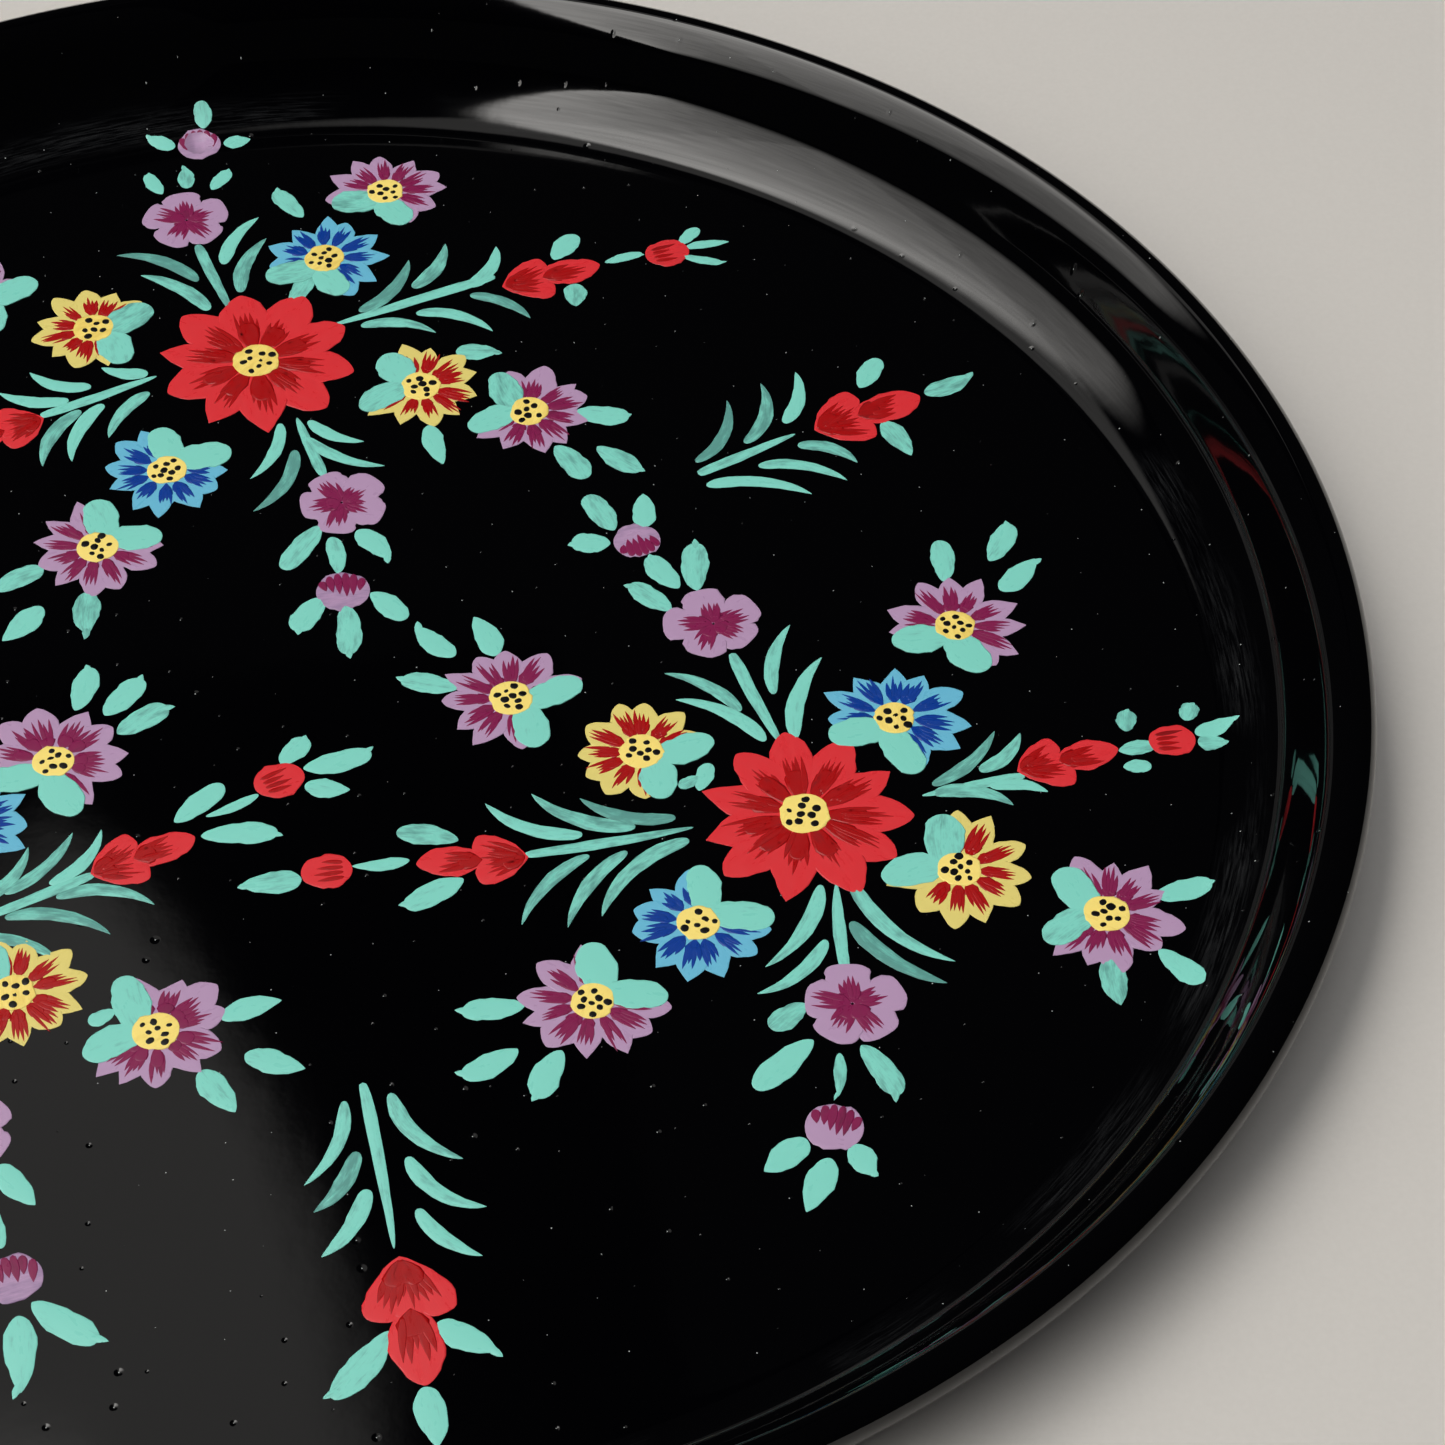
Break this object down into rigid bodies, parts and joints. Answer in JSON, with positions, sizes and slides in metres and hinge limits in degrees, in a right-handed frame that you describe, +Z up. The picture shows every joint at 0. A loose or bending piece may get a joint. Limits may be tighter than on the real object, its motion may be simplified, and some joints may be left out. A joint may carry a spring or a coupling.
{
  "type": "tray",
  "caption": "Round black-lacquered steel serving tray with a flat floor, a coved wall and a rolled rim, hand painted with flower medallions.",
  "frame": {"origin": "middle of the flat underside that the tray rests on", "axes": "+Z up, square to the floor of the tray; the tray is round about Z, and -Y is the side nearest the viewer"},
  "size_m": [0.34, 0.34, 0.02],
  "materials": {
    "black_lacquer": "high gloss black lacquer over pressed sheet steel, with a floral painting under clear varnish",
    "steel_wire": "drawn mild steel wire, bare inside the curl"
  },
  "bodies": {
    "root": {"pan": "black_lacquer", "rim_wire": "steel_wire"}
  },
  "joints": []
}
